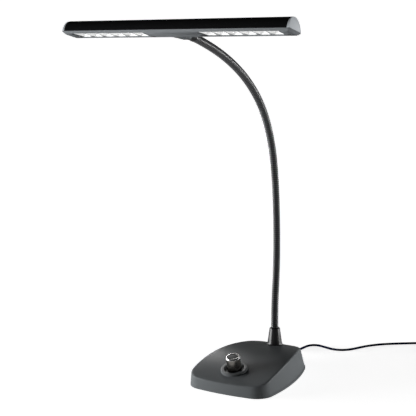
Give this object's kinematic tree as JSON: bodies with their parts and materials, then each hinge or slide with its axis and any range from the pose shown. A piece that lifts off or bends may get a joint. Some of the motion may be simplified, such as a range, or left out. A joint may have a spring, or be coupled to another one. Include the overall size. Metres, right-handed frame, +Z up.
{
  "type": "piano lamp",
  "caption": "Table lamp for a piano: weighted base with a dimmer knob, bendable gooseneck and a long head with two lit windows.",
  "frame": {"origin": "centre of the base's underside, on the table", "axes": "+Z up, front of the lamp (knob and lamp head) to -Y, +X to the right"},
  "size_m": [0.4633, 0.4884, 0.4956],
  "materials": {
    "base_paint": "satin graphite paint",
    "cast_iron": "rough casting",
    "zinc_steel": "zinc plated",
    "rubber": "matte",
    "lead": "smooth black sheath",
    "knob_metal": "turned, dark anodised, polished rim",
    "circuit_board": "solder-masked board",
    "gooseneck": "black, ribbed",
    "head_black": "satin black",
    "panel_grey": "fine-grained grey",
    "cap_grey": "fine-grained light grey",
    "reflector_white": "white, lit by the lamps",
    "led_board": "white board",
    "led": "small lamps with a clear lens",
    "brass_pins": "nickel plated"
  },
  "bodies": {
    "base": {"base_cover": "base_paint", "base_weight": "cast_iron", "bottom_plate": "zinc_steel", "anti_slip_pad": "rubber", "bottom_screws": "zinc_steel", "dimmer_bezel": "base_paint", "dimmer_board": "circuit_board", "dimmer_pot": "zinc_steel", "dimmer_nut": "zinc_steel", "neck_ferrule": "base_paint", "neck_stud": "zinc_steel", "neck_nut": "zinc_steel", "cable_gland": "rubber", "inner_lead": "lead", "neck_lead": "lead", "gooseneck_1": "gooseneck", "cord_run": "lead", "cord_coil": "lead", "cord_tail": "lead", "plug_body": "lead", "plug_pins": "brass_pins"},
    "knob": {"dimmer_shaft": "zinc_steel", "dimmer_knob": "knob_metal", "knob_cap": "knob_metal"},
    "neck_2": {"gooseneck_2": "gooseneck"},
    "neck_3": {"gooseneck_3": "gooseneck"},
    "neck_4": {"gooseneck_4": "gooseneck"},
    "neck_5": {"gooseneck_5": "gooseneck"},
    "neck_6": {"gooseneck_6": "gooseneck"},
    "neck_7": {"gooseneck_7": "gooseneck"},
    "neck_8": {"gooseneck_8": "gooseneck"},
    "head": {"gooseneck_9": "gooseneck", "neck_sleeve": "gooseneck", "neck_end_fitting": "zinc_steel", "head_socket": "panel_grey", "socket_screws": "zinc_steel", "head_shell": "head_black", "head_panel": "panel_grey", "panel_screws": "zinc_steel", "end_cap_left": "cap_grey", "end_cap_right": "cap_grey", "reflector_left": "reflector_white", "reflector_right": "reflector_white", "led_board_left": "led_board", "led_board_right": "led_board", "leds_left": "led", "leds_right": "led"}
  },
  "joints": [
    {"name": "dimmer_turn", "type": "hinge", "parent": "base", "child": "knob", "pos_m": [0, -0.053, 0.02525], "axis": [0, -0.2236, 0.9747], "range_deg": [-150, 150]},
    {"name": "bend_1_fore_aft", "type": "hinge", "parent": "base", "child": "neck_2", "pos_m": [0, 0.06933, 0.11529], "axis": [1, 0, 0], "range_deg": [-20, 20]},
    {"name": "bend_2_sideways", "type": "hinge", "parent": "neck_2", "child": "neck_3", "pos_m": [0, 0.07298, 0.17505], "axis": [0, 1, -0.0087], "range_deg": [-18, 18]},
    {"name": "bend_3_fore_aft", "type": "hinge", "parent": "neck_3", "child": "neck_4", "pos_m": [0, 0.07142, 0.23492], "axis": [1, 0, 0], "range_deg": [-20, 20]},
    {"name": "bend_4_sideways", "type": "hinge", "parent": "neck_4", "child": "neck_5", "pos_m": [0, 0.06438, 0.29437], "axis": [0, 0.9848, 0.1736], "range_deg": [-18, 18]},
    {"name": "bend_5_fore_aft", "type": "hinge", "parent": "neck_5", "child": "neck_6", "pos_m": [0, 0.0452, 0.35087], "axis": [1, 0, 0], "range_deg": [-20, 20]},
    {"name": "bend_6_sideways", "type": "hinge", "parent": "neck_6", "child": "neck_7", "pos_m": [0, 0.00872, 0.39798], "axis": [0, 0.6691, 0.7431], "range_deg": [-18, 18]},
    {"name": "bend_7_fore_aft", "type": "hinge", "parent": "neck_7", "child": "neck_8", "pos_m": [0, -0.04008, 0.43248], "axis": [1, 0, 0], "range_deg": [-20, 20]},
    {"name": "bend_8_sideways", "type": "hinge", "parent": "neck_8", "child": "head", "pos_m": [0, -0.09467, 0.45701], "axis": [0, 0.3404, 0.9403], "range_deg": [-18, 18]}
  ]
}
